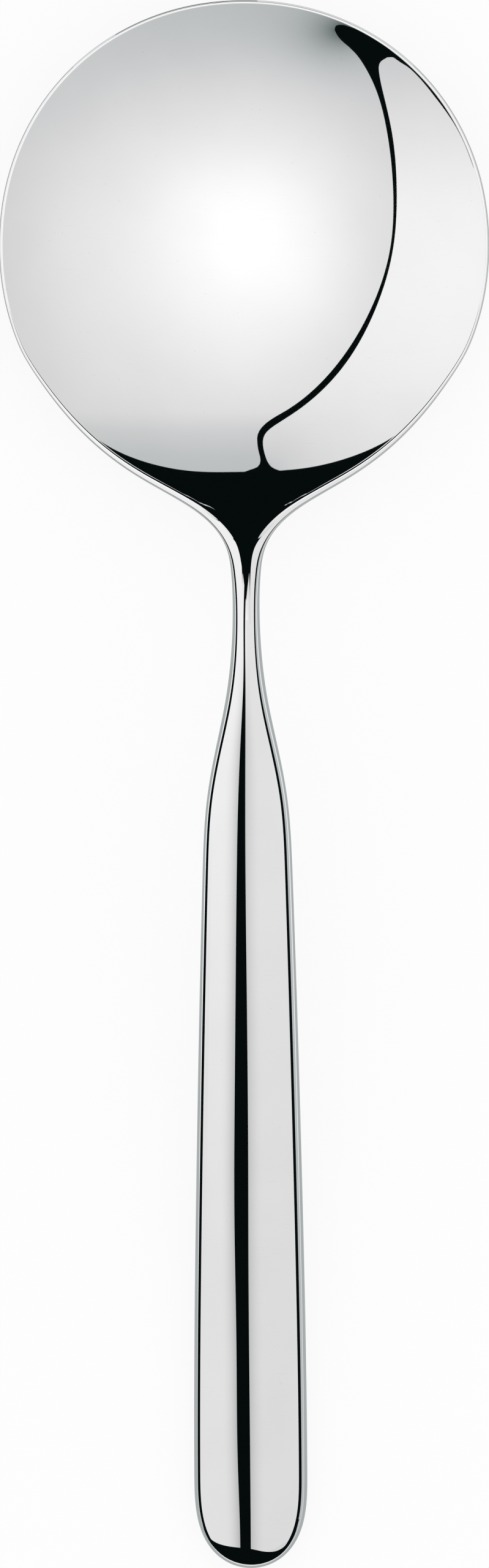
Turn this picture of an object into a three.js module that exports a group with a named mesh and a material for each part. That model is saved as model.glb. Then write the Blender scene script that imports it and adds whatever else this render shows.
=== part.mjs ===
// Hollow-handled serving spoon, lying face up on a table.
// Millimetres, +Z up, bowl towards +Y and handle towards -Y. The origin is on the table, under the middle
// of the outline. Places along the spoon are given as a distance from the bowl's centre towards the handle.

import * as THREE from 'three';
import { ParametricGeometry } from 'three/addons/geometries/ParametricGeometry.js';
import { mergeGeometries, mergeVertices } from 'three/addons/utils/BufferGeometryUtils.js';

// Whole spoon
const OVERALL_LENGTH = 256;

// Bowl, whose outline is a circle at a squareness of 2 and fuller above it
const BOWL_DIAMETER = 80;
const BOWL_SQUARENESS = 2.06;
const BOWL_DEPTH = 8;
const BOWL_FLOOR_THICKNESS = 1.8;
const RIM_THICKNESS = 1.2;
const REST_FLAT_DIAMETER = 14;

// Shoulder, where the outline leaves the bowl's round: distance beyond the round's end and width there
const SHOULDER_REACH = 24;
const SHOULDER_WIDTHS = [
  [-18, 66.9],
  [-10, 54],
  [-2, 33.9],
  [3, 17.2],
  [8, 7.6],
  [13.5, 4.8],
];
const SHOULDER_THICKNESS = 2.4;
const NECK_ROOT_BEYOND_RIM = 6;
const OVAL_BEYOND_RIM = 12;

// Neck, with the rise of its axis above the rim at its narrowest place and at the top of its arch
const NECK_BEYOND_RIM = 21;
const NECK_WIDTH = 4.4;
const NECK_THICKNESS = 4;
const NECK_RISE = 6.4;
const ARCH_BEYOND_NECK = 9;
const ARCH_RISE = 7.6;

// Handle: distance beyond the narrowest neck, with the width or the thickness there
const SWELL_WIDTHS = [
  [13, 6.8],
  [21, 10.1],
  [29, 13],
  [41, 14.6],
];
const SWELL_THICKNESSES = [
  [13, 5.3],
  [29, 6],
];
const GRIP_MIDDLE_WIDTH = 17.2;
const GRIP_MIDDLE_THICKNESS = 6.7;
const HANDLE_WIDTH = 18.5;
const HANDLE_THICKNESS = 6.9;
const BUTT_LENGTH = 16;
const BUTT_FULLNESS = 3.1;

// Joint between the forging and the handle
const JOINT_BEYOND_NECK = 20;
const BRAZE_THICKNESS = 0.5;
const SPIGOT_LENGTH = 6;
const TANG_TAPER_LENGTH = 3;
const TANG_LENGTH = 45;
const TANG_ROOT_WIDTH = 6;
const TANG_TIP_WIDTH = 4;

// Handle shells, their weld and the filling, whose cover is its least thickness over the tang
const SHELL_WALL = 0.8;
const WELD_HEIGHT = 0.6;
const FILLER_COVER = 0.5;
const CLEARANCE = 0.3;

// Fineness of the faceted surfaces
const RIM_STEPS = 48;
const SHOULDER_STEPS = 9;
const RING_STEPS = 13;
const RIM_CROWDING = 2.5;
const SECTION_STEPS = 12;
const NECK_STEPS = 16;
const GRIP_STEPS = 26;
const BUTT_STEPS = 8;
const WELD_STEPS = 2;
const SPIGOT_STEPS = 2;
const TANG_STEPS = 7;

// Places worked out from the sizes above
const BOWL_RADIUS = BOWL_DIAMETER / 2;
const BOWL_CENTRE_Y = OVERALL_LENGTH / 2 - BOWL_RADIUS;
const HANDLE_END = OVERALL_LENGTH - BOWL_RADIUS;
const BUTT_START = HANDLE_END - BUTT_LENGTH;
const SHOULDER_START = BOWL_RADIUS - SHOULDER_REACH;
const NECK_START = BOWL_RADIUS + NECK_ROOT_BEYOND_RIM;
const OVAL_START = BOWL_RADIUS + OVAL_BEYOND_RIM;
const NECK_DISTANCE = BOWL_RADIUS + NECK_BEYOND_RIM;
const JOINT = NECK_DISTANCE + JOINT_BEYOND_NECK;
const NECK_END = JOINT - BRAZE_THICKNESS;
const SPIGOT_END = JOINT + SPIGOT_LENGTH;
const TONGUE_START = SPIGOT_END + TANG_TAPER_LENGTH;
const TANG_END = JOINT + TANG_LENGTH;
const SWELL_END = NECK_DISTANCE + SWELL_WIDTHS.at(-1)[0];
const GRIP_MIDDLE = (SWELL_END + BUTT_START) / 2;

// Smooth curve through [place, value] points with a given slope at each end
function spline(points, startSlope, endSlope) {
  const last = points.length - 1;
  const step = (i) => points[i + 1][0] - points[i][0];
  const rise = (i) => (points[i + 1][1] - points[i][1]) / step(i);
  const slopes = points.map(() => startSlope);
  const share = [0];
  for (let i = 1; i < last; i += 1) {
    const pull = 2 * (step(i - 1) + step(i)) - step(i) * share[i - 1];
    const target = 3 * (step(i) * rise(i - 1) + step(i - 1) * rise(i));
    share[i] = step(i - 1) / pull;
    slopes[i] = (target - step(i) * slopes[i - 1]) / pull;
  }
  slopes[last] = endSlope;
  for (let i = last - 1; i > 0; i -= 1) {
    slopes[i] -= share[i] * slopes[i + 1];
  }
  return (place) => {
    const found = points.findIndex(([at], k) => k > 0 && place <= at);
    const i = found < 0 ? last - 1 : found - 1;
    const t = (place - points[i][0]) / step(i);
    const fromEnd = 1 - t;
    return points[i][1] * fromEnd * fromEnd * (1 + 2 * t)
      + points[i + 1][1] * t * t * (1 + 2 * fromEnd)
      + step(i) * t * fromEnd * (slopes[i] * fromEnd - slopes[i + 1] * t);
  };
}

const SLOPE_STEP = 0.001;
const slopeOf = (curve, place) => (curve(place + SLOPE_STEP) - curve(place - SLOPE_STEP)) / (2 * SLOPE_STEP);

const half = ([place, size]) => [place, size / 2];
const from = (start, sizes) => sizes.map(([beyond, size]) => half([start + beyond, size]));

// Heights of the bowl's inside and underside at a radius
function insideHeight(radius) {
  return BOWL_FLOOR_THICKNESS + BOWL_DEPTH * (radius / BOWL_RADIUS) ** 2;
}

function undersideHeight(radius) {
  const flat = REST_FLAT_DIAMETER / 2;
  const rim = insideHeight(BOWL_RADIUS) - RIM_THICKNESS;
  return rim * (Math.max(0, radius - flat) / (BOWL_RADIUS - flat)) ** 2;
}

const bowlHalf = (radius) => (insideHeight(radius) - undersideHeight(radius)) / 2;

// Curves along the spoon: half width, half thickness and the height of the axis
function bowlWidth(place) {
  const share = Math.min(1, Math.abs(place) / BOWL_RADIUS);
  return BOWL_RADIUS * (1 - share ** BOWL_SQUARENESS) ** (1 / BOWL_SQUARENESS);
}

const widthCurve = spline(
  [
    [SHOULDER_START, bowlWidth(SHOULDER_START)],
    ...from(BOWL_RADIUS, SHOULDER_WIDTHS),
    half([NECK_DISTANCE, NECK_WIDTH]),
    ...from(NECK_DISTANCE, SWELL_WIDTHS),
    half([GRIP_MIDDLE, GRIP_MIDDLE_WIDTH]),
    half([BUTT_START, HANDLE_WIDTH]),
  ],
  slopeOf(bowlWidth, SHOULDER_START),
  0,
);

const thicknessCurve = spline(
  [
    [SHOULDER_START, bowlHalf(SHOULDER_START)],
    half([BOWL_RADIUS, SHOULDER_THICKNESS]),
    half([NECK_DISTANCE, NECK_THICKNESS]),
    ...from(NECK_DISTANCE, SWELL_THICKNESSES),
    half([GRIP_MIDDLE, GRIP_MIDDLE_THICKNESS]),
    half([BUTT_START, HANDLE_THICKNESS]),
  ],
  0,
  0,
);

const axisCurve = spline(
  [
    [BOWL_RADIUS, insideHeight(BOWL_RADIUS) - SHOULDER_THICKNESS / 2],
    [NECK_DISTANCE, insideHeight(BOWL_RADIUS) + NECK_RISE],
    [NECK_DISTANCE + ARCH_BEYOND_NECK, insideHeight(BOWL_RADIUS) + ARCH_RISE],
    [BUTT_START, HANDLE_THICKNESS / 2],
  ],
  slopeOf(insideHeight, BOWL_RADIUS),
  0,
);

const halfWidth = (place) => (
  place <= SHOULDER_START ? bowlWidth(place) : widthCurve(Math.min(place, BUTT_START))
);
const halfThickness = (place) => thicknessCurve(THREE.MathUtils.clamp(place, SHOULDER_START, BUTT_START));
const axisHeight = (place) => axisCurve(THREE.MathUtils.clamp(place, BOWL_RADIUS, BUTT_START));

// Point of the spoon at a sideways place, a distance along the spoon and a height
const at = (x, place, z) => new THREE.Vector3(x, BOWL_CENTRE_Y - place, z);

// Face of the forging: side is 1 for the upper face and -1 for the underside. The dish of the bowl carries on
// through the shoulder, with a rounded edge all round, and turns to an oval section in the neck
const LEAST_WIDTH = 1e-6;

function forgingFace(x, place, side) {
  const radius = Math.hypot(x, place);
  const width = Math.max(LEAST_WIDTH, halfWidth(place));
  const spread = Math.max(0, width ** 2 - x ** 2);
  const thickening = THREE.MathUtils.smootherstep(place, SHOULDER_START, NECK_START);
  const blend = THREE.MathUtils.smootherstep(place, BOWL_RADIUS, OVAL_START);
  const dishHalf = THREE.MathUtils.lerp(bowlHalf(radius), halfThickness(place), thickening);
  const steepness = width * slopeOf(halfWidth, place);
  const edge = Math.min(1, spread / Math.hypot(width, steepness) / (2 * dishHalf));
  const dish = dishHalf * Math.sqrt(edge * (2 - edge));
  const oval = halfThickness(place) * Math.sqrt(spread) / width;
  const middle = THREE.MathUtils.lerp(insideHeight(radius) - dishHalf, axisHeight(place), blend);
  return at(x, place, middle + side * THREE.MathUtils.lerp(dish, oval, blend));
}

// Oval section across the axis, at an angle from the spoon's right-hand side
function ovalPoint(place, width, thickness, angle) {
  return at(width * Math.cos(angle), place, axisHeight(place) + thickness * Math.sin(angle));
}

// Grid of points over a patch of surface, turned over where its neighbour uses the same patch
function patch(point, across, along, turned = false) {
  const grid = new ParametricGeometry((u, v, target) => target.copy(point(u, v)), across, along);
  if (turned) {
    const index = grid.getIndex();
    for (let i = 0; i < index.count; i += 3) {
      const first = index.getX(i);
      index.setX(i, index.getX(i + 1));
      index.setX(i + 1, first);
    }
  }
  return grid;
}

// Closed body from the patches that bound it, without the triangles that a pole collapses
const SAME_POINT = 0.001;

function closedBody(name, material, patches) {
  const joined = mergeGeometries(patches);
  joined.deleteAttribute('normal');
  joined.deleteAttribute('uv');
  const body = mergeVertices(joined, SAME_POINT);
  const corners = body.getIndex().array;
  const kept = [];
  for (let i = 0; i < corners.length; i += 3) {
    const [a, b, c] = corners.subarray(i, i + 3);
    if (a !== b && b !== c && c !== a) {
      kept.push(a, b, c);
    }
  }
  body.setIndex(kept);
  body.computeVertexNormals();
  const mesh = new THREE.Mesh(body, material);
  mesh.name = name;
  return mesh;
}

const fullTurn = (u) => 2 * Math.PI * u;

// Spokes of the bowl: a ring at the edge of the resting flat, then rings that crowd towards the rim
function spokePoint(x, place, v) {
  const reach = Math.hypot(x, place);
  const flat = REST_FLAT_DIAMETER / 2;
  const ring = v * RING_STEPS - 1;
  const share = 1 - (1 - Math.max(0, ring) / (RING_STEPS - 1)) ** RIM_CROWDING;
  const radius = ring < 0 ? flat * (ring + 1) : flat + (reach - flat) * share;
  const scale = share === 1 ? 1 : radius / reach;
  return [x * scale, place * scale];
}

// Edge of the dished part, as spokes' ends: round the rim, down each shoulder and across the neck's root
function rimEnd(u) {
  const reach = Math.PI - Math.acos(SHOULDER_START / BOWL_RADIUS);
  const turn = (2 * u - 1) * reach;
  const place = Math.abs(turn) === reach ? SHOULDER_START : -BOWL_RADIUS * Math.cos(turn);
  return [Math.sign(turn) * halfWidth(place), place];
}

function shoulderEnd(u, hand) {
  const place = THREE.MathUtils.lerp(SHOULDER_START, NECK_START, u);
  return [hand * halfWidth(place), place];
}

function rootEnd(u) {
  return [halfWidth(NECK_START) * Math.cos(Math.PI * u), NECK_START];
}

// Tang inside the handle: a spigot that locates the shells, then a flat tongue that narrows to its tip
function tangSection(place) {
  const spigotWidth = halfWidth(JOINT) - SHELL_WALL - CLEARANCE;
  const spigotThickness = halfThickness(JOINT) - SHELL_WALL - CLEARANCE;
  const taper = THREE.MathUtils.clamp((place - SPIGOT_END) / TANG_TAPER_LENGTH, 0, 1);
  const run = THREE.MathUtils.clamp((place - TONGUE_START) / (TANG_END - TONGUE_START), 0, 1);
  const tongueWidth = THREE.MathUtils.lerp(TANG_ROOT_WIDTH, TANG_TIP_WIDTH, run) / 2;
  const tongueThickness = halfThickness(TONGUE_START) - SHELL_WALL - FILLER_COVER - 2 * CLEARANCE;
  return [
    THREE.MathUtils.lerp(spigotWidth, tongueWidth, taper),
    THREE.MathUtils.lerp(spigotThickness, tongueThickness, taper),
  ];
}

function tangPoint(u, place, grown = 0) {
  const [width, thickness] = tangSection(place);
  return ovalPoint(place, width + grown, thickness + grown, fullTurn(u));
}

const neckPoint = (u, place) => {
  const angle = fullTurn(u);
  return forgingFace(halfWidth(place) * Math.cos(angle), place, u <= 0.5 ? 1 : -1);
};

// Flat ring between the neck's outside and the spigot, at a place along the spoon
const shoulderFace = (place) => (u, v) => neckPoint(u, place).lerp(tangPoint(u, place), v);

const axisPoint = (place) => at(0, place, axisHeight(place));

const steel = (color) => new THREE.MeshStandardMaterial({ color, metalness: 1, roughness: 0.08 });

function bowlAndNeck() {
  const around = 2 * SECTION_STEPS;
  const between = (start, end) => (u, v) => tangPoint(u, THREE.MathUtils.lerp(start, end, v));
  const patches = [];
  for (const side of [1, -1]) {
    const skin = (end) => (u, v) => forgingFace(...spokePoint(...end(u), v), side);
    const upper = side > 0;
    patches.push(
      patch(skin(rimEnd), RIM_STEPS, RING_STEPS, !upper),
      patch(skin((u) => shoulderEnd(u, 1)), SHOULDER_STEPS, RING_STEPS, !upper),
      patch(skin((u) => shoulderEnd(u, -1)), SHOULDER_STEPS, RING_STEPS, upper),
      patch(skin(rootEnd), SECTION_STEPS, RING_STEPS, !upper),
    );
  }
  patches.push(
    patch((u, v) => neckPoint(u, THREE.MathUtils.lerp(NECK_START, NECK_END, v)), around, NECK_STEPS),
    patch(shoulderFace(NECK_END), around, 1),
    patch(between(NECK_END, SPIGOT_END), around, SPIGOT_STEPS),
    patch(between(SPIGOT_END, TONGUE_START), around, 1),
    patch(between(TONGUE_START, TANG_END), around, TANG_STEPS),
    patch((u, v) => tangPoint(u, TANG_END).lerp(axisPoint(TANG_END), v), around, 1),
  );
  return closedBody('bowl_and_neck', steel(0xd9dcdc), patches);
}

// Rounded end of the handle's outside, its cavity and its filling: each is set in from the outside by a wall
function buttShare(place, inset) {
  const share = Math.max(0, place - BUTT_START) / (BUTT_LENGTH - inset);
  return Math.sqrt(Math.max(0, 1 - share ** BUTT_FULLNESS));
}

const insetWidth = (place, inset) => (halfWidth(place) - inset) * buttShare(place, inset);
const insetThickness = (place, inset) => (halfThickness(place) - inset) * buttShare(place, inset);

function handlePoint(place, inset, angle) {
  return ovalPoint(place, insetWidth(place, inset), insetThickness(place, inset), angle);
}

// Place along the handle at which an inset surface is no higher than the weld
function seamEnd(inset) {
  const lowest = WELD_HEIGHT / 2 / (HANDLE_THICKNESS / 2 - inset);
  return BUTT_START + (BUTT_LENGTH - inset) * (1 - lowest ** 2) ** (1 / BUTT_FULLNESS);
}

// Rows along the handle: even steps on the grip, then steps that crowd towards the rounded end
const SHELL_ROWS = GRIP_STEPS + BUTT_STEPS;

function rowPlace(v, start, end) {
  const row = v * SHELL_ROWS;
  if (row <= GRIP_STEPS) {
    return THREE.MathUtils.lerp(start, BUTT_START, row / GRIP_STEPS);
  }
  const turn = (row - GRIP_STEPS) / BUTT_STEPS;
  return turn === 1 ? end : BUTT_START + (end - BUTT_START) * Math.sin(turn * Math.PI / 2);
}

const OUTSIDE = 0;

// Angle above the seam's plane at which the weld meets a shell
function seamAngle(place, inset) {
  const rise = WELD_HEIGHT / 2 / insetThickness(place, inset);
  return place < seamEnd(inset) ? Math.asin(rise) : Math.PI / 2;
}

// Face of a half shell: side is 1 for the front and -1 for the back, u runs from the right seam to the left
function shellPoint(u, v, inset, side) {
  const place = rowPlace(v, JOINT, seamEnd(inset));
  const seam = seamAngle(place, inset);
  return handlePoint(place, inset, side * THREE.MathUtils.lerp(seam, Math.PI - seam, u));
}

const seamFace = (edge, side) => (u, v) => (
  shellPoint(edge, v, OUTSIDE, side).lerp(shellPoint(edge, v, SHELL_WALL, side), u)
);

const mouthFace = (side) => (u, v) => (
  shellPoint(u, 0, OUTSIDE, side).lerp(shellPoint(u, 0, SHELL_WALL, side), v)
);

function handleShell(name, side) {
  const front = side > 0;
  return closedBody(name, steel(0xd6d9d9), [
    patch((u, v) => shellPoint(u, v, OUTSIDE, side), SECTION_STEPS, SHELL_ROWS, !front),
    patch((u, v) => shellPoint(u, v, SHELL_WALL, side), SECTION_STEPS, SHELL_ROWS, front),
    patch(seamFace(0, side), 1, SHELL_ROWS, front),
    patch(seamFace(1, side), 1, SHELL_ROWS, !front),
    patch(mouthFace(side), SECTION_STEPS, 1, front),
  ]);
}

// Face of the weld on one side of the handle: hand is 1 for the right and -1 for the left
function weldPoint(u, place, inset, hand) {
  const seam = seamAngle(place, inset);
  const rise = THREE.MathUtils.lerp(-seam, seam, u);
  return handlePoint(place, inset, hand > 0 ? rise : Math.PI - rise);
}

function handleSeamWeld() {
  const patches = [];
  for (const hand of [1, -1]) {
    const right = hand > 0;
    const edge = right ? 0 : 1;
    for (const inset of [OUTSIDE, SHELL_WALL]) {
      const turned = right !== (inset === OUTSIDE);
      const side = (u, v) => weldPoint(u, rowPlace(v, JOINT, seamEnd(inset)), inset, hand);
      const tipPlace = (v) => THREE.MathUtils.lerp(seamEnd(inset), HANDLE_END - inset, v);
      patches.push(
        patch(side, WELD_STEPS, SHELL_ROWS, turned),
        patch((u, v) => weldPoint(u, tipPlace(v), inset, hand), WELD_STEPS, 1, turned),
      );
    }
    const end = (u, inset) => weldPoint(u, JOINT, inset, hand);
    patches.push(
      patch(seamFace(edge, 1), 1, SHELL_ROWS, !right),
      patch(seamFace(edge, -1), 1, SHELL_ROWS, right),
      patch((u, v) => end(u, OUTSIDE).lerp(end(u, SHELL_WALL), v), WELD_STEPS, 1, right),
    );
  }
  return closedBody('handle_seam_weld', steel(0xd2d5d5), patches);
}

function neckBrazeRing() {
  const around = 2 * SECTION_STEPS;
  const outer = (u, v) => neckPoint(u, THREE.MathUtils.lerp(NECK_END, JOINT, v));
  const inner = (u, v) => tangPoint(u, THREE.MathUtils.lerp(NECK_END, JOINT, v));
  return closedBody('neck_braze_ring', steel(0xd0d2cf), [
    patch(outer, around, 1),
    patch(inner, around, 1, true),
    patch(shoulderFace(NECK_END), around, 1, true),
    patch(shoulderFace(JOINT), around, 1),
  ]);
}

function tangFiller() {
  const around = 2 * SECTION_STEPS;
  const inset = SHELL_WALL + CLEARANCE;
  const pocketEnd = TANG_END + CLEARANCE;
  const outer = (u, v) => handlePoint(rowPlace(v, TONGUE_START, HANDLE_END - inset), inset, fullTurn(u));
  const pocket = (u, v) => tangPoint(u, THREE.MathUtils.lerp(TONGUE_START, pocketEnd, v), CLEARANCE);
  const material = new THREE.MeshStandardMaterial({ color: 0x8f8878, metalness: 0, roughness: 0.9 });
  return closedBody('tang_filler', material, [
    patch(outer, around, SHELL_ROWS),
    patch(pocket, around, 2 * TANG_STEPS, true),
    patch((u, v) => outer(u, 0).lerp(pocket(u, 0), v), around, 1, true),
    patch((u, v) => pocket(u, 1).lerp(axisPoint(pocketEnd), v), around, 1, true),
  ]);
}

const spoon = new THREE.Group();
spoon.add(
  bowlAndNeck(),
  handleShell('handle_front_shell', 1),
  handleShell('handle_back_shell', -1),
  handleSeamWeld(),
  neckBrazeRing(),
  tangFiller(),
);

export default spoon;
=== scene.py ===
"""Polished serving spoon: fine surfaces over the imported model, with its finish, studio and camera."""

import math

import bpy
import numpy as np
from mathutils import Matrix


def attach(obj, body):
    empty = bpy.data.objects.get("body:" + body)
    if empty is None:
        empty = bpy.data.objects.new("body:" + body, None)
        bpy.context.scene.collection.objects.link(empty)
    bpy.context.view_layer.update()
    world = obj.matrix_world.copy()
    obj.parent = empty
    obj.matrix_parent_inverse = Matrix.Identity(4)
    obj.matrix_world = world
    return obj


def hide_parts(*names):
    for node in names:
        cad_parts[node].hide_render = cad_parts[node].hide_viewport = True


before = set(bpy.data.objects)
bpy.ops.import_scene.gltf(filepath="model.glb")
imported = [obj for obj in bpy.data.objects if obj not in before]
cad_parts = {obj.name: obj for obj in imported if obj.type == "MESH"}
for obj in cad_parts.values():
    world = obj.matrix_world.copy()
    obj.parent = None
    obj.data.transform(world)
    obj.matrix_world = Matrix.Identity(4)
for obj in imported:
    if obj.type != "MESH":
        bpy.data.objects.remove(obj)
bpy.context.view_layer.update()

scene = bpy.context.scene
scene.view_settings.view_transform = "Standard"

# The shape is worked out in millimetres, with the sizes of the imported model
MM = 0.001
OVERALL_LENGTH = 256.0

# Bowl, whose outline is a circle at a squareness of 2 and fuller above it
BOWL_RADIUS = 40.0
BOWL_SQUARENESS = 2.06
BOWL_DEPTH = 8.0
BOWL_FLOOR_THICKNESS = 1.8
RIM_THICKNESS = 1.2
REST_FLAT_RADIUS = 7.0

# Shoulder and neck: place from the bowl's centre towards the handle, and half width or thickness there
SHOULDER_START = 16.0
SHOULDER_WIDTHS = [(22, 33.45), (30, 27.0), (38, 16.95), (43, 8.6), (48, 3.8), (53.5, 2.4)]
SHOULDER_THICKNESS = 1.2
NECK_START = 46.0
OVAL_START = 52.0
NECK_PLACE = 61.0
NECK_WIDTH = 2.2
NECK_THICKNESS = 2.0
NECK_RISE = 6.4
ARCH_PLACE = 70.0
ARCH_RISE = 7.6

# Handle, in the same way
SWELL_WIDTHS = [(74, 3.4), (82, 5.05), (90, 6.5), (102, 7.3)]
SWELL_THICKNESSES = [(74, 2.65), (90, 3.0)]
GRIP_PLACE = 151.0
GRIP_WIDTH = 8.6
GRIP_THICKNESS = 3.35
BUTT_START = 200.0
BUTT_LENGTH = 16.0
BUTT_FULLNESS = 3.1
HANDLE_WIDTH = 9.25
HANDLE_THICKNESS = 3.45

# Joint and the parts inside the handle
JOINT = 81.0
NECK_END = 80.5
SPIGOT_END = 87.0
TONGUE_START = 90.0
TANG_END = 126.0
TANG_ROOT_WIDTH = 3.0
TANG_TIP_WIDTH = 2.0
SHELL_WALL = 0.8
WELD_HEIGHT = 0.6
FILLER_COVER = 0.5
CLEARANCE = 0.3

# Places worked out from the sizes above
BOWL_CENTRE_Y = OVERALL_LENGTH / 2 - BOWL_RADIUS
HANDLE_END = OVERALL_LENGTH - BOWL_RADIUS
RIM_HEIGHT = BOWL_FLOOR_THICKNESS + BOWL_DEPTH

# Fineness of the surfaces
RIM_STEPS = 200
SHOULDER_STEPS = 56
ROOT_STEPS = 40
NECK_STEPS = 90
RING_STEPS = 60
SECTION_STEPS = 52
GRIP_STEPS = 110
BUTT_STEPS = 26
WELD_STEPS = 10
TIP_STEPS = 6
SPIGOT_STEPS = 6
TONGUE_STEPS = 12
BRAZE_STEPS = 2


def lerp(start, end, share):
    return start + (end - start) * share


def spline(points, start_slope, end_slope):
    """Smooth curve through (place, value) points with a given slope at each end."""
    places, values = np.array(points, dtype=float).T
    steps = np.diff(places)
    rises = np.diff(values) / steps
    last = len(places) - 1
    system = np.eye(last + 1)
    target = np.zeros(last + 1)
    target[0] = start_slope
    target[last] = end_slope
    for i in range(1, last):
        system[i, i - 1 : i + 2] = steps[i], 2 * (steps[i - 1] + steps[i]), steps[i - 1]
        target[i] = 3 * (steps[i] * rises[i - 1] + steps[i - 1] * rises[i])
    slopes = np.linalg.solve(system, target)

    def curve(place):
        i = np.clip(np.searchsorted(places, place) - 1, 0, last - 1)
        t = (place - places[i]) / steps[i]
        from_end = 1 - t
        ends = values[i] * from_end**2 * (1 + 2 * t) + values[i + 1] * t**2 * (1 + 2 * from_end)
        return ends + steps[i] * t * from_end * (slopes[i] * from_end - slopes[i + 1] * t)

    return curve


SLOPE_STEP = 0.001


def slope_of(curve, place):
    return (curve(place + SLOPE_STEP) - curve(place - SLOPE_STEP)) / (2 * SLOPE_STEP)


# Heights of the bowl's inside and underside at a radius
def inside_height(radius):
    return BOWL_FLOOR_THICKNESS + BOWL_DEPTH * (radius / BOWL_RADIUS) ** 2


def underside_height(radius):
    beyond_flat = np.maximum(0, radius - REST_FLAT_RADIUS) / (BOWL_RADIUS - REST_FLAT_RADIUS)
    return (RIM_HEIGHT - RIM_THICKNESS) * beyond_flat**2


def bowl_half(radius):
    return (inside_height(radius) - underside_height(radius)) / 2


# Curves along the spoon: half width, half thickness and the height of the axis
def bowl_width(place):
    share = np.minimum(1, np.abs(place) / BOWL_RADIUS)
    return BOWL_RADIUS * (1 - share**BOWL_SQUARENESS) ** (1 / BOWL_SQUARENESS)


width_curve = spline(
    [
        (SHOULDER_START, bowl_width(SHOULDER_START)),
        *SHOULDER_WIDTHS,
        (NECK_PLACE, NECK_WIDTH),
        *SWELL_WIDTHS,
        (GRIP_PLACE, GRIP_WIDTH),
        (BUTT_START, HANDLE_WIDTH),
    ],
    slope_of(bowl_width, SHOULDER_START),
    0,
)
thickness_curve = spline(
    [
        (SHOULDER_START, bowl_half(SHOULDER_START)),
        (BOWL_RADIUS, SHOULDER_THICKNESS),
        (NECK_PLACE, NECK_THICKNESS),
        *SWELL_THICKNESSES,
        (GRIP_PLACE, GRIP_THICKNESS),
        (BUTT_START, HANDLE_THICKNESS),
    ],
    0,
    0,
)
axis_curve = spline(
    [
        (BOWL_RADIUS, RIM_HEIGHT - SHOULDER_THICKNESS),
        (NECK_PLACE, RIM_HEIGHT + NECK_RISE),
        (ARCH_PLACE, RIM_HEIGHT + ARCH_RISE),
        (BUTT_START, HANDLE_THICKNESS),
    ],
    slope_of(inside_height, BOWL_RADIUS),
    0,
)


def on_curve(curve, place):
    return curve(np.clip(place, SHOULDER_START, BUTT_START))


def axis_height(place):
    return axis_curve(np.clip(place, BOWL_RADIUS, BUTT_START))


def butt_share(place, inset=0.0):
    """How much of the handle's section is left in its rounded end."""
    share = np.maximum(0, place - BUTT_START) / (BUTT_LENGTH - inset)
    return np.sqrt(np.maximum(0, 1 - share**BUTT_FULLNESS))


def half_width(place, inset=0.0):
    along = on_curve(width_curve, place) - inset
    return np.where(place <= SHOULDER_START, bowl_width(place), along * butt_share(place, inset))


def half_thickness(place, inset=0.0):
    return (on_curve(thickness_curve, place) - inset) * butt_share(place, inset)


def at(x, place, z):
    """Point of the spoon at a sideways place, a distance along the spoon and a height."""
    return np.stack(np.broadcast_arrays(x, BOWL_CENTRE_Y - place, z), axis=-1)


def smoother_step(value, start, end):
    t = np.clip((value - start) / (end - start), 0, 1)
    return t**3 * (t * (t * 6 - 15) + 10)


def dish_half_thickness(x, place):
    thickening = smoother_step(place, SHOULDER_START, NECK_START)
    return lerp(bowl_half(np.hypot(x, place)), half_thickness(place), thickening)


LEAST_WIDTH = 1e-6


def outer_face(x, place, side):
    """Face of the whole spoon: side is 1 for the upper face and -1 for the underside."""
    width = np.maximum(half_width(place), LEAST_WIDTH)
    spread = np.maximum(0, width**2 - x**2)
    blend = smoother_step(place, BOWL_RADIUS, OVAL_START)
    dish_half = dish_half_thickness(x, place)
    steepness = width * slope_of(half_width, place)
    edge = np.minimum(1, spread / np.hypot(width, steepness) / (2 * dish_half))
    dish = dish_half * np.sqrt(edge * (2 - edge))
    oval = half_thickness(place) * np.sqrt(spread) / width
    middle = lerp(inside_height(np.hypot(x, place)) - dish_half, axis_height(place), blend)
    return at(x, place, middle + side * lerp(dish, oval, blend))


# Patches of surface, as grids of points with their normals
PARAMETER_STEP = 1e-4
SAME_POINT = 1e-5
LEAST_LENGTH = 1e-30


def unit(vectors):
    return vectors / np.maximum(np.linalg.norm(vectors, axis=-1, keepdims=True), LEAST_LENGTH)


def patch(point, across, along, turned=False):
    """Grid over point(u, v) with its normals, turned over where they would point inwards."""
    u, v = np.meshgrid(np.linspace(0, 1, across + 1), np.linspace(0, 1, along + 1))
    u_rise = point(np.minimum(u + PARAMETER_STEP, 1), v) - point(np.maximum(u - PARAMETER_STEP, 0), v)
    v_rise = point(u, np.minimum(v + PARAMETER_STEP, 1)) - point(u, np.maximum(v - PARAMETER_STEP, 0))
    facing = np.cross(unit(u_rise), unit(v_rise))
    # A row that shrinks to a point takes the mean normal of the row beside it
    for row, beside in ((0, 1), (-1, -2)):
        if np.ptp(point(u, v)[row], axis=0).max() < SAME_POINT:
            facing[row] = facing[beside].mean(axis=0)
    return point(u, v), -unit(facing) if turned else unit(facing), turned


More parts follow.
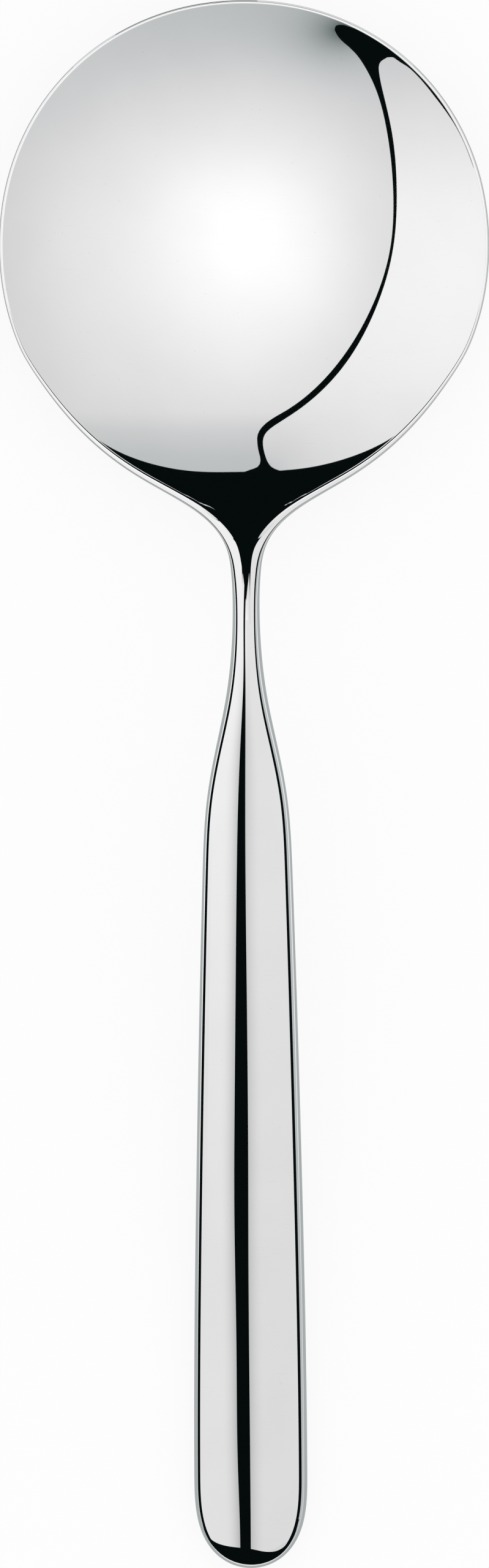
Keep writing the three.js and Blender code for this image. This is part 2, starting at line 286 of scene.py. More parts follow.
def closed_mesh(name, patches):
    """Mesh of the patches that bound a body, smooth on each patch and sharp where two meet at an angle."""
    points = np.concatenate([grid.reshape(-1, 3) for grid, _, _ in patches])
    facings = np.concatenate([normals.reshape(-1, 3) for _, normals, _ in patches])
    keys = np.round(points / SAME_POINT).astype(np.int64)
    _, first, shared = np.unique(keys, axis=0, return_index=True, return_inverse=True)
    shared = shared.reshape(-1)
    faces = []
    corner_facings = []
    start = 0
    for grid, _, turned in patches:
        rows, columns = grid.shape[:2]
        index = start + np.arange(rows * columns).reshape(rows, columns)
        start += rows * columns
        corners = np.stack([index[:-1, :-1], index[:-1, 1:], index[1:, 1:], index[1:, :-1]], axis=-1)
        for quad in corners.reshape(-1, 4)[:, :: -1 if turned else 1]:
            kept = [c for k, c in enumerate(quad) if shared[c] != shared[quad[k - 1]]]
            if len(kept) > 2:
                faces.append([int(shared[c]) for c in kept])
                corner_facings.extend(facings[c] for c in kept)
    mesh = bpy.data.meshes.new(name)
    mesh.from_pydata(points[first] * MM, [], faces)
    mesh.shade_smooth()
    mesh.normals_split_custom_set(corner_facings)
    mesh.update()
    return mesh


def add_piece(name, node, material, patches):
    """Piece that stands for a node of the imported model."""
    piece = bpy.data.objects.new(name, closed_mesh(name, patches))
    piece.data.materials.append(material)
    scene.collection.objects.link(piece)
    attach(piece, "root")
    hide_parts(node)


# Forging: the bowl's spokes run over the flat, then the face, then round the rim
FLAT_SHARE = 0.1
FACE_SHARE = 0.8
RIM_BREADTH = 1.5


def spoke_point(x, place, v):
    reach = np.hypot(x, place)
    rim = RIM_BREADTH * dish_half_thickness(x, place)
    over_face = np.clip((v - FLAT_SHARE) / (FACE_SHARE - FLAT_SHARE), 0, 1)
    over_rim = np.clip((v - FACE_SHARE) / (1 - FACE_SHARE), 0, 1)
    radius = REST_FLAT_RADIUS * np.minimum(v / FLAT_SHARE, 1)
    radius = radius + (reach - rim - REST_FLAT_RADIUS) * over_face
    radius = radius + rim * np.sin(over_rim * math.pi / 2)
    scale = np.where(v == 1, 1, radius / reach)
    return x * scale, place * scale


def rim_end(u):
    reach = math.pi - math.acos(SHOULDER_START / BOWL_RADIUS)
    turn = (2 * u - 1) * reach
    place = np.where(np.abs(turn) >= reach, SHOULDER_START, -BOWL_RADIUS * np.cos(turn))
    return np.sign(turn) * half_width(place), place


def shoulder_end(u, hand):
    place = lerp(SHOULDER_START, NECK_START, u)
    return hand * half_width(place), place


def root_end(u):
    place = np.full_like(u, NECK_START)
    return half_width(place) * np.cos(math.pi * u), place


def oval_point(place, width, thickness, angle):
    return at(width * np.cos(angle), place, axis_height(place) + thickness * np.sin(angle))


def tang_point(u, place):
    inset = SHELL_WALL + CLEARANCE
    taper = np.clip((place - SPIGOT_END) / (TONGUE_START - SPIGOT_END), 0, 1)
    run = np.clip((place - TONGUE_START) / (TANG_END - TONGUE_START), 0, 1)
    tongue_width = lerp(TANG_ROOT_WIDTH, TANG_TIP_WIDTH, run)
    tongue_thickness = half_thickness(TONGUE_START) - SHELL_WALL - FILLER_COVER - 2 * CLEARANCE
    width = lerp(half_width(JOINT, inset), tongue_width, taper)
    thickness = lerp(half_thickness(JOINT, inset), tongue_thickness, taper)
    return oval_point(place, width, thickness, 2 * math.pi * u)


def neck_point(u, place):
    across = half_width(place) * np.cos(2 * math.pi * u)
    return outer_face(across, place, np.where(u <= 0.5, 1, -1))


def shoulder_face(place):
    return lambda u, v: lerp(neck_point(u, place), tang_point(u, place), v[..., None])


def tang_stretch(start, end):
    return lambda u, v: tang_point(u, lerp(start, end, v))


def forging_patches():
    around = 2 * ROOT_STEPS
    patches = []
    for side in (1, -1):
        upper = side > 0

        def skin(end):
            return lambda u, v: outer_face(*spoke_point(*end(u), v), side)

        patches += [
            patch(skin(rim_end), RIM_STEPS, RING_STEPS, not upper),
            patch(skin(lambda u: shoulder_end(u, 1)), SHOULDER_STEPS, RING_STEPS, not upper),
            patch(skin(lambda u: shoulder_end(u, -1)), SHOULDER_STEPS, RING_STEPS, upper),
            patch(skin(root_end), ROOT_STEPS, RING_STEPS, not upper),
        ]
    tip = at(0.0, TANG_END, axis_height(TANG_END))
    patches += [
        patch(lambda u, v: neck_point(u, lerp(NECK_START, NECK_END, v)), around, NECK_STEPS),
        patch(shoulder_face(NECK_END), around, 1),
        patch(tang_stretch(NECK_END, SPIGOT_END), around, SPIGOT_STEPS),
        patch(tang_stretch(SPIGOT_END, TONGUE_START), around, 1),
        patch(tang_stretch(TONGUE_START, TANG_END), around, TONGUE_STEPS),
        patch(lambda u, v: lerp(tang_point(u, TANG_END), tip, v[..., None]), around, 1),
    ]
    return patches


def braze_patches():
    around = 2 * ROOT_STEPS
    return [
        patch(lambda u, v: neck_point(u, lerp(NECK_END, JOINT, v)), around, BRAZE_STEPS),
        patch(tang_stretch(NECK_END, JOINT), around, BRAZE_STEPS, True),
        patch(shoulder_face(NECK_END), around, 1, True),
        patch(shoulder_face(JOINT), around, 1),
    ]


# Handle: rows run along the grip, then crowd towards the rounded end
SHELL_ROWS = GRIP_STEPS + BUTT_STEPS
NEAR_ZERO = 1e-9


def row_place(v, end):
    row = v * SHELL_ROWS
    turn = np.clip((row - GRIP_STEPS) / BUTT_STEPS, 0, 1)
    on_butt = BUTT_START + (end - BUTT_START) * np.sin(turn * math.pi / 2)
    return np.where(row <= GRIP_STEPS, lerp(JOINT, BUTT_START, row / GRIP_STEPS), on_butt)


def handle_point(place, inset, angle):
    return oval_point(place, half_width(place, inset), half_thickness(place, inset), angle)


def seam_end(inset):
    """Place at which a face of the handle is no higher than the weld."""
    lowest = WELD_HEIGHT / 2 / (HANDLE_THICKNESS - inset)
    return BUTT_START + (BUTT_LENGTH - inset) * (1 - lowest**2) ** (1 / BUTT_FULLNESS)


def seam_angle(place, inset):
    rise = WELD_HEIGHT / 2 / np.maximum(half_thickness(place, inset), NEAR_ZERO)
    return np.where(place < seam_end(inset) - NEAR_ZERO, np.arcsin(np.minimum(rise, 1)), math.pi / 2)


def shell_point(u, v, inset, side):
    place = row_place(v, seam_end(inset))
    seam = seam_angle(place, inset)
    return handle_point(place, inset, side * lerp(seam, math.pi - seam, u))


def seam_face(edge, side):
    def point(u, v):
        outside = shell_point(edge, v, 0.0, side)
        return lerp(outside, shell_point(edge, v, SHELL_WALL, side), u[..., None])

    return point


def mouth_face(side):
    def point(u, v):
        start = np.zeros_like(u)
        outside = shell_point(u, start, 0.0, side)
        return lerp(outside, shell_point(u, start, SHELL_WALL, side), v[..., None])

    return point


def shell_patches(side):
    front = side > 0
    return [
        patch(lambda u, v: shell_point(u, v, 0.0, side), SECTION_STEPS, SHELL_ROWS, not front),
        patch(lambda u, v: shell_point(u, v, SHELL_WALL, side), SECTION_STEPS, SHELL_ROWS, front),
        patch(seam_face(0.0, side), 1, SHELL_ROWS, front),
        patch(seam_face(1.0, side), 1, SHELL_ROWS, not front),
        patch(mouth_face(side), SECTION_STEPS, 1, front),
    ]


def weld_point(u, place, inset, hand):
    seam = seam_angle(place, inset)
    rise = lerp(-seam, seam, u)
    return handle_point(place, inset, rise if hand > 0 else math.pi - rise)


def weld_patches():
    patches = []
    for hand in (1, -1):
        right = hand > 0
        edge = 0.0 if right else 1.0
        for inset in (0.0, SHELL_WALL):
            turned = right != (inset == 0)

            def side(u, v):
                return weld_point(u, row_place(v, seam_end(inset)), inset, hand)

            def tip(u, v):
                turn = np.sin(v * math.pi / 2)
                return weld_point(u, lerp(seam_end(inset), HANDLE_END - inset, turn), inset, hand)

            patches += [
                patch(side, WELD_STEPS, SHELL_ROWS, turned),
                patch(tip, WELD_STEPS, TIP_STEPS, turned),
            ]

        def mouth(u, v):
            outside = weld_point(u, np.full_like(u, JOINT), 0.0, hand)
            return lerp(outside, weld_point(u, np.full_like(u, JOINT), SHELL_WALL, hand), v[..., None])

        patches += [
            patch(seam_face(edge, 1), 1, SHELL_ROWS, not right),
            patch(seam_face(edge, -1), 1, SHELL_ROWS, right),
            patch(mouth, WELD_STEPS, 1, right),
        ]
    return patches


# Materials
def new_material(name):
    material = bpy.data.materials.new(name)
    material.use_nodes = True
    material.node_tree.nodes.clear()
    return material, material.node_tree.nodes, material.node_tree.links


def add_node(nodes, kind, settings=None, **inputs):
    """Node with its settings and the values of its input sockets."""
    node = nodes.new(kind)
    for key, value in (settings or {}).items():
        setattr(node, key, value)
    for key, value in inputs.items():
        node.inputs[key.replace("_", " ")].default_value = value
    return node


def ramp(nodes, stops):
    """Colour ramp of stops, each a place with its colour."""
    node = nodes.new("ShaderNodeValToRGB")
    elements = node.color_ramp.elements
    while len(elements) < len(stops):
        elements.new(1.0)
    for element, (place, colour) in zip(elements, stops):
        element.position = place
        element.color = (*colour, 1)
    return node


def greys(*stops):
    """Stops of a ramp from (place, grey) pairs."""
    return [(place, (grey, grey, grey)) for place, grey in stops]


# Sockets of a Mix node that mixes colours
MIX_SHARE = 0
MIX_FIRST = 6
MIX_SECOND = 7
MIX_RESULT = 2


def mixed(nodes, links, share, first, second):
    """Mix of two colours, each given as a colour or as what another node puts out."""
    node = add_node(nodes, "ShaderNodeMix", {"data_type": "RGBA"})
    links.new(share, node.inputs[MIX_SHARE])
    for socket, colour in ((MIX_FIRST, first), (MIX_SECOND, second)):
        if isinstance(colour, tuple):
            node.inputs[socket].default_value = (*colour, 1)
        else:
            links.new(colour, node.inputs[socket])
    return node.outputs[MIX_RESULT]


# Polish: a cloudy haze, two sets of hairlines and pinpricks
POLISH_ROUGHNESS = 0.008
HAZE_ROUGHENING = 1.4
HAZE_SCALE = 70
HAZE_DETAIL = 4
HAZE_RANGE = greys((0.3, 0.0), (0.7, 1.0))
HAIRLINE_STRETCH = (240, 9000, 240)
HAIRLINE_DETAIL = 3
HAIRLINE_TURNS = (18, 71)
HAIRLINE_RANGE = greys((0.69, 0.0), (0.74, 1.0))
PINPRICK_SCALE = 1500
PINPRICK_RANGE = greys((0.83, 0.0), (0.86, 1.0))
MARK_COLOUR = (0.5, 0.5, 0.5)
MARK_SHARE = 0.12


def polished_metal(name, pale, deep):
    """Mirror polish with the faint haze, hairlines and pinpricks that polishing leaves."""
    material, nodes, links = new_material(name)
    output = add_node(nodes, "ShaderNodeOutputMaterial")
    shader = add_node(nodes, "ShaderNodeBsdfPrincipled", Metallic=1.0)
    links.new(shader.outputs["BSDF"], output.inputs["Surface"])
    place = add_node(nodes, "ShaderNodeTexCoord")

    def noise(scale, detail, stretch=(1, 1, 1), turn=0.0):
        mapping = add_node(nodes, "ShaderNodeMapping", Scale=stretch, Rotation=(0, 0, math.radians(turn)))
        texture = add_node(nodes, "ShaderNodeTexNoise", Scale=scale, Detail=detail)
        links.new(place.outputs["Object"], mapping.inputs["Vector"])
        links.new(mapping.outputs["Vector"], texture.inputs["Vector"])
        return texture.outputs["Fac"]

    def changed(value, stops):
        made = ramp(nodes, stops)
        links.new(value, made.inputs["Fac"])
        return made.outputs["Color"]

    def combined(operation, first, second):
        node = add_node(nodes, "ShaderNodeMath", {"operation": operation})
        links.new(first, node.inputs[0])
        links.new(second, node.inputs[1])
        return node.outputs["Value"]

    def hairlines(turn):
        return changed(noise(1, HAIRLINE_DETAIL, HAIRLINE_STRETCH, turn), HAIRLINE_RANGE)

    haze = noise(HAZE_SCALE, HAZE_DETAIL)
    crossed = combined("MAXIMUM", *map(hairlines, HAIRLINE_TURNS))
    pinpricks = changed(noise(PINPRICK_SCALE, 0), PINPRICK_RANGE)
    marks = combined("MAXIMUM", crossed, pinpricks)
    clouded = mixed(nodes, links, changed(haze, HAZE_RANGE), deep, pale)
    mark_share = changed(marks, greys((0.0, 0.0), (1.0, MARK_SHARE)))
    marked = mixed(nodes, links, mark_share, clouded, MARK_COLOUR)
    links.new(marked, shader.inputs["Base Color"])

    roughest = POLISH_ROUGHNESS * HAZE_ROUGHENING
    roughened = add_node(nodes, "ShaderNodeMapRange", To_Min=POLISH_ROUGHNESS, To_Max=roughest)
    links.new(haze, roughened.inputs["Value"])
    links.new(roughened.outputs["Result"], shader.inputs["Roughness"])
    return material


# Setting compound that fills the handle
COMPOUND_ROUGHNESS = 0.9
COMPOUND_DARK = (0.42, 0.39, 0.33)
COMPOUND_PALE = (0.64, 0.61, 0.55)
GRAIN_SCALE = 900.0
GRAIN_DETAIL = 5.0
GRAIN_STRENGTH = 0.4
GRAIN_HEIGHT = 0.2


def setting_compound():
    """Grainy cement of the handle's filling, which no view shows."""
    material, nodes, links = new_material("setting_compound")
    output = add_node(nodes, "ShaderNodeOutputMaterial")
    shader = add_node(nodes, "ShaderNodeBsdfPrincipled", Roughness=COMPOUND_ROUGHNESS)
    links.new(shader.outputs["BSDF"], output.inputs["Surface"])
    place = add_node(nodes, "ShaderNodeTexCoord")
    grain = add_node(nodes, "ShaderNodeTexNoise", Scale=GRAIN_SCALE, Detail=GRAIN_DETAIL)
    links.new(place.outputs["Object"], grain.inputs["Vector"])
    colour = mixed(nodes, links, grain.outputs["Fac"], COMPOUND_DARK, COMPOUND_PALE)
    links.new(colour, shader.inputs["Base Color"])
    bump = add_node(nodes, "ShaderNodeBump", Strength=GRAIN_STRENGTH, Distance=GRAIN_HEIGHT * MM)
    links.new(grain.outputs["Fac"], bump.inputs["Height"])
    links.new(bump.outputs["Normal"], shader.inputs["Normal"])
    return material


steel = polished_metal("polished_steel", (0.84, 0.84, 0.845), (0.81, 0.81, 0.815))
weld = polished_metal("polished_weld", (0.835, 0.835, 0.84), (0.805, 0.805, 0.81))
braze = polished_metal("polished_braze", (0.835, 0.835, 0.83), (0.805, 0.805, 0.80))

add_piece("spoon_bowl_and_neck", "bowl_and_neck", steel, forging_patches())
add_piece("spoon_handle_front", "handle_front_shell", steel, shell_patches(1))
add_piece("spoon_handle_back", "handle_back_shell", steel, shell_patches(-1))
add_piece("spoon_handle_weld", "handle_seam_weld", weld, weld_patches())
add_piece("spoon_neck_braze", "neck_braze_ring", braze, braze_patches())

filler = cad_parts["tang_filler"]
filler.data.materials.clear()
filler.data.materials.append(setting_compound())

# Camera: straight above, as far up as a long lens needs, with the spoon turned a little in the frame
FRAME_HEIGHT = 255.55
CAMERA_HEIGHT = 2000.0
CAMERA_X = -0.42
CAMERA_Y = 0.185
CAMERA_TURN = math.radians(-0.31)
CAMERA_REACH = 10000.0
SENSOR = 36.0

camera_data = bpy.data.cameras.new("camera")
camera_data.sensor_fit = "AUTO"
camera_data.sensor_width = SENSOR
camera_data.lens = SENSOR * (CAMERA_HEIGHT - RIM_HEIGHT) / FRAME_HEIGHT
camera_data.clip_end = CAMERA_REACH * MM
camera = bpy.data.objects.new("camera", camera_data)
camera.location = (CAMERA_X * MM, CAMERA_Y * MM, CAMERA_HEIGHT * MM)
camera.rotation_euler = (0.0, 0.0, CAMERA_TURN)
scene.collection.objects.link(camera)
scene.camera = camera


# Studio: light and dark cards that only the polished metal sees. Most are set along the camera's turned-back
# lines of sight, so that they paint a reflection onto chosen places of the metal: painted reflections and
# painted shade.
def upper_face(x, place):
    return outer_face(x, place, 1)


def bowl_face(x, place):
    """Inside of the bowl, carried on past the rim."""
    return at(x, place, inside_height(np.hypot(x, place)))


def painted_reflection_point(face, x, place, distance):
    """Point at a distance along the camera's line of sight, once a place on a face has turned it back: a
    card there paints a reflection onto that place.
    """
    point = face(x, place)
    across = face(x + SLOPE_STEP, place) - face(x - SLOPE_STEP, place)
    along = face(x, place + SLOPE_STEP) - face(x, place - SLOPE_STEP)
    normal = unit(np.cross(across, along))
    sight = unit(point - np.array([CAMERA_X, CAMERA_Y, CAMERA_HEIGHT]))
    turned = sight - 2 * (sight * normal).sum(axis=-1, keepdims=True) * normal
    return point + distance * turned


def between(first, second, count):
    """Rows from one edge to another, each edge an (x, place) pair of arrays."""
    share = np.linspace(0, 1, count)[:, None]
    return lerp(first[0], second[0], share), lerp(first[1], second[1], share)


def smooth_path(points, count=60):
    """Even (x, place) points on a smooth curve through a few given ones."""
    points = np.array(points, dtype=float)
    lengths = np.hypot(*np.diff(points, axis=0).T)
    reached = np.concatenate([[0], np.cumsum(lengths)])
    wanted = np.linspace(0, reached[-1], count)
    path = []
    for values in points.T:
        start_slope = (values[1] - values[0]) / lengths[0]
        end_slope = (values[-1] - values[-2]) / lengths[-1]
        path.append(spline(list(zip(reached, values)), start_slope, end_slope)(wanted))
    return path


# Tint of a card by its level: dark cards lean to blue-green
CARD_TINTS = [(0.0, (0.5, 1.0, 1.0)), (0.25, (0.88, 1.0, 0.985)), (0.8, (1.0, 1.0, 1.005))]
DARK_LEVEL = 0.004

# Room between two cards of which one hides the other
CARD_GAP = 5.0


def card_material():
    """Glow and cover of a card, both stored in its points."""
    material, nodes, links = new_material("studio_card")
    output = add_node(nodes, "ShaderNodeOutputMaterial")
    clear = add_node(nodes, "ShaderNodeBsdfTransparent")
    glow = add_node(nodes, "ShaderNodeEmission")
    tint = ramp(nodes, CARD_TINTS)
    mix = add_node(nodes, "ShaderNodeMixShader")
    level = add_node(nodes, "ShaderNodeAttribute", {"attribute_name": "level"})
    cover = add_node(nodes, "ShaderNodeAttribute", {"attribute_name": "cover"})
    links.new(level.outputs["Fac"], glow.inputs["Strength"])
    links.new(level.outputs["Fac"], tint.inputs["Fac"])
    links.new(tint.outputs["Color"], glow.inputs["Color"])
    links.new(cover.outputs["Fac"], mix.inputs["Fac"])
    links.new(clear.outputs["BSDF"], mix.inputs[1])
    links.new(glow.outputs["Emission"], mix.inputs[2])
    links.new(mix.outputs["Shader"], output.inputs["Surface"])
    return material


card_surface = card_material()


def add_card(name, rows, level=DARK_LEVEL, cover=1.0):
    """Sheet over rows of points, seen by nothing but reflections: a level of 1 is white."""
    rows = np.asarray(rows, dtype=float)
    count = rows.shape[1]
    corner = np.arange(rows.shape[0] * count).reshape(rows.shape[:2])
    corners = [corner[:-1, :-1], corner[:-1, 1:], corner[1:, 1:], corner[1:, :-1]]
    mesh = bpy.data.meshes.new(name)
    mesh.from_pydata(rows.reshape(-1, 3) * MM, [], np.stack(corners, axis=-1).reshape(-1, 4).tolist())
    for key, values in (("level", level), ("cover", cover)):
        stored = mesh.attributes.new(key, "FLOAT", "POINT")
        stored.data.foreach_set("value", np.broadcast_to(values, rows.shape[:2]).astype(np.float32).ravel())
    mesh.materials.append(card_surface)
    card = bpy.data.objects.new(name, mesh)
    card.visible_camera = False
    card.visible_diffuse = False
    card.visible_transmission = False
    card.visible_volume_scatter = False
    card.visible_shadow = False
    scene.collection.objects.link(card)


def sheet(corner, first, second):
    """Points of a flat card, from one corner along its two sides."""
    corner, first, second = np.array([corner, first, second], dtype=float)
    return [[corner, corner + first], [corner + second, corner + first + second]]


def level_sheet(reach, near, far, height, steps):
    """Grid of a level card, as wide to the left as to the right: its x, its y and its points."""
    x, y = np.meshgrid(np.linspace(-reach, reach, steps[0]), np.linspace(near, far, steps[1]))
    return x, y, np.stack([x, y, np.full_like(x, height)], axis=-1)


# Tent of white cloth round the spoon, brighter on its left and towards the bowl
TENT_RADIUS = 260.0
TENT_NEAR = -300.0
TENT_FAR = 300.0
TENT_STEPS = (91, 40)
CLOTH_RISE = (-112, -2)
CLOTH_LEFT_LEVELS = (0.905, 1.05)
CLOTH_RIGHT_LEVELS = (0.86, 0.92)
CLOTH_BLEND = 0.15


def cloth_level(x, y, height):
    """Glow of the cloth, which rises along the handle and goes over from its left to its right."""
    left = np.interp(y, CLOTH_RISE, CLOTH_LEFT_LEVELS)
    right = np.interp(y, CLOTH_RISE, CLOTH_RIGHT_LEVELS)
    return lerp(left, right, smoother_step(x, -CLOTH_BLEND * height, CLOTH_BLEND * height))


tent_angle, tent_y = np.meshgrid(
    np.linspace(-math.pi / 2, math.pi / 2, TENT_STEPS[0]), np.linspace(TENT_NEAR, TENT_FAR, TENT_STEPS[1])
)
tent_x = TENT_RADIUS * np.sin(tent_angle)
tent_points = np.stack([tent_x, tent_y, TENT_RADIUS * np.cos(tent_angle)], axis=-1)
add_card("tent", tent_points, level=cloth_level(tent_x, tent_y, TENT_RADIUS))

# Flat cloth over the handle, low enough that the bowl doesn't see it
CLOTH_HEIGHT = 78.0
CLOTH_HALF_WIDTH = 110.0
CLOTH_NEAR = -200.0
CLOTH_FAR = 62.0
CLOTH_STEPS = (61, 40)
cloth_x, cloth_y, cloth_points = level_sheet(
    CLOTH_HALF_WIDTH, CLOTH_NEAR, CLOTH_FAR, CLOTH_HEIGHT, CLOTH_STEPS
)
add_card("handle_cloth", cloth_points, level=cloth_level(cloth_x, cloth_y, CLOTH_HEIGHT))

# Ends of the tent, a little greyer
TENT_END_LEVEL = 0.8
for end_name, end_y in (("tent_far_end", TENT_FAR), ("tent_near_end", TENT_NEAR)):
    end = sheet((-TENT_RADIUS, end_y, 0), (2 * TENT_RADIUS, 0, 0), (0, 0, TENT_RADIUS))
    add_card(end_name, end, level=TENT_END_LEVEL)

# Foot of the tent: dark strips on the left and at the far end, and one above a grey strip on the right
FOOT_X = 190.0
LEFT_STRIP = (0.0, 60.0)
RIGHT_STRIP = (52.0, 101.0)
RIGHT_GREY = 0.6
FAR_STRIP_START = -115.0
FAR_STRIP_END = 10.0
FAR_STRIP_HEIGHT = 130.0
for strip_name, strip_x, (low, high), strip_level in (
    ("left_strip", -FOOT_X, LEFT_STRIP, DARK_LEVEL),
    ("right_strip", FOOT_X, RIGHT_STRIP, DARK_LEVEL),
    ("right_grey_strip", FOOT_X, (0.0, RIGHT_STRIP[0]), RIGHT_GREY),
):
    strip = sheet((strip_x, TENT_NEAR, low), (0, TENT_FAR - TENT_NEAR, 0), (0, 0, high - low))
    add_card(strip_name, strip, level=strip_level)
far_corner = (FAR_STRIP_START, TENT_FAR - CARD_GAP, 0)
far_strip = sheet(far_corner, (FAR_STRIP_END - FAR_STRIP_START, 0, 0), (0, 0, FAR_STRIP_HEIGHT))
add_card("far_strip", far_strip)

# Painted shade: a grey sheet on the floor round the spoon that only reflections see, standing in for the
# floor's shade there, for the parts of its edges that look down
UNDERLAY_HALF_WIDTH = 80.0
UNDERLAY_HALF_LENGTH = 165.0
UNDERLAY_HEIGHT = 0.3
UNDERLAY_FADE = 30.0
PAINTED_FLOOR_SHADE_LEVEL = 0.5
UNDERLAY_STEPS = (33, 67)
underlay_x, underlay_y, underlay_points = level_sheet(
    UNDERLAY_HALF_WIDTH, -UNDERLAY_HALF_LENGTH, UNDERLAY_HALF_LENGTH, UNDERLAY_HEIGHT, UNDERLAY_STEPS
)
underlay_reach = np.minimum(UNDERLAY_HALF_WIDTH - abs(underlay_x), UNDERLAY_HALF_LENGTH - abs(underlay_y))
underlay_cover = smoother_step(underlay_reach, 0, UNDERLAY_FADE)
add_card("painted_floor_shade", underlay_points, level=PAINTED_FLOOR_SHADE_LEVEL, cover=underlay_cover)

# Bowl: painted reflection of a softbox overhead, set along the camera's turned-back lines of sight, that
# fades on each side in its own way, at its lower edge and, as painted shade, beside the wedge
SOFTBOX_DISTANCE = 200.0
SOFTBOX_REACH = 42.0
SOFTBOX_TURNS = 361
SOFTBOX_RINGS = 43
SOFTBOX_FALLS = [
    spline([(0, 1.22), (10, 1.135), (18, 1.013), (26, 0.92), (42, 0.84)], 0, 0),
    spline([(0, 1.22), (10, 1.145), (20, 0.955), (30, 0.84), (42, 0.78)], 0, 0),
    spline([(0, 1.22), (10, 1.166), (18, 0.994), (26, 0.846), (34, 0.69), (42, 0.63)], 0, 0),
    spline([(0, 1.22), (10, 1.135), (20, 1.0), (30, 0.908), (42, 0.79)], 0, 0),
]
SOFTBOX_END = ([24, 27, 30, 34, 42], [1.0, 0.98, 0.86, 0.77, 0.7])
WEDGE_TIP_X = 16.5
WEDGE_TIP_PLACE = -35.0
WEDGE_SHADE_BREADTH = 4.7
WEDGE_SHADE_LENGTH = 2.9


def bowl_point(turn, radius):
    """Place on the bowl at an angle from the handle's side and a radius."""
    return radius * np.sin(np.radians(turn)), radius * np.cos(np.radians(turn))


def softbox_level(turn, radius):
    """Glow that blends the falls towards the handle, the right, the tip and the left, dimmed by painted
    shade beside the wedge.
    """
    x, place = bowl_point(turn, radius)
    shares = [np.maximum(0, np.cos(np.radians(turn - 90 * side))) ** 2 for side in range(4)]
    level = sum(share * fall(radius) for share, fall in zip(shares, SOFTBOX_FALLS))
    # Painted shade: the glow dims round the tip of the wedge
    beside_wedge = (x - WEDGE_TIP_X) / WEDGE_SHADE_BREADTH
    along_wedge = (place - WEDGE_TIP_PLACE) / WEDGE_SHADE_LENGTH
    painted_wedge_shade = np.exp(-np.hypot(beside_wedge, along_wedge))
    return level * np.interp(place, *SOFTBOX_END) * (1 - painted_wedge_shade)


# The softbox and the panel end where the bowl shows the dark flag beyond it
flag_edge = smooth_path(
    [
        (-34.6, 19.9), (-31.2, 24.7), (-28.1, 28.1), (-22.7, 32.4), (-16.4, 35.2), (-9.1, 36.7),
        (-1.3, 36.9), (5.0, 36.75), (10.4, 36.25), (16.2, 34.9), (24.2, 31.3), (27.0, 29.2), (28.9, 27.5),
    ]
)


def softbox_reach(turn):
    """Radius on the bowl at which the lit cards end."""
    edge_turn = np.degrees(np.arctan2(*flag_edge))
    return np.interp(turn, edge_turn, np.hypot(*flag_edge), left=SOFTBOX_REACH, right=SOFTBOX_REACH)


softbox_turn, softbox_share = np.meshgrid(
    np.linspace(-180, 180, SOFTBOX_TURNS), np.linspace(0, 1, SOFTBOX_RINGS)
)
softbox_radius = softbox_share * softbox_reach(softbox_turn)
softbox_points = painted_reflection_point(bowl_face, *bowl_point(softbox_turn, softbox_radius), SOFTBOX_DISTANCE)
add_card("softbox", softbox_points, level=softbox_level(softbox_turn, softbox_radius))

# Bowl: painted reflection of a panel beside the softbox, with the dark gap between the two that widens to a
# wedge at the top, all set along the camera's turned-back lines of sight
PANEL_LEAD = 2.0
PANEL_TURNS = (6, 142)
PANEL_STEPS = 140
PANEL_ROWS = 24
PANEL_FOOT_X = 4.0
PANEL_FOOT_PLACE = 37.0
PANEL_FOOT_PAINTED_SHADE = 0.26
PANEL_FOOT_REACH = 8.0
GAP_ROWS = 4
WEDGE_STEPS = 90
WEDGE_ROWS = 8
panel_edge = smooth_path(
    [
        (6.3, 36.95), (5.0, 36.5), (4.15, 36.0), (3.6, 35.2), (3.1, 33.7), (2.88, 32.0), (3.1, 31.0),
        (3.9, 30.0), (5.3, 29.0), (8.4, 27.0), (15.8, 20.1), (21.4, 10.4), (24.3, 0.8), (25.0, -9.0),
        (24.15, -19.0), (22.8, -25.0), (22.2, -28.0), (22.4, -29.8), (23.5, -30.5),
    ],
    PANEL_STEPS,
)
gap_edge = smooth_path(
    [
        (-0.3, 36.95), (1.27, 36.4), (2.1, 36.0), (2.45, 35.2), (2.2, 33.7), (1.95, 32.0), (1.98, 31.0),
        (2.4, 30.0), (3.3, 29.0), (6.45, 27.0), (15.1, 19.3), (20.7, 10.2), (23.8, 0.8), (24.4, -9.0),
        (23.35, -19.0), (21.8, -25.0), (19.9, -29.0), (17.6, -32.0), (16.2, -33.2), (15.3, -34.3),
        (14.95, -35.0),
    ],
    PANEL_STEPS,
)
panel_turn = np.linspace(*PANEL_TURNS, PANEL_STEPS)
panel_x, panel_place = between(panel_edge, bowl_point(panel_turn, softbox_reach(panel_turn)), PANEL_ROWS)
panel_fall = spline(
    [(-32, 0.72), (-26, 0.81), (-18, 0.937), (-6, 1.06), (6, 1.085), (16, 1.06), (24, 1.01), (42, 0.9)], 0, 0
)
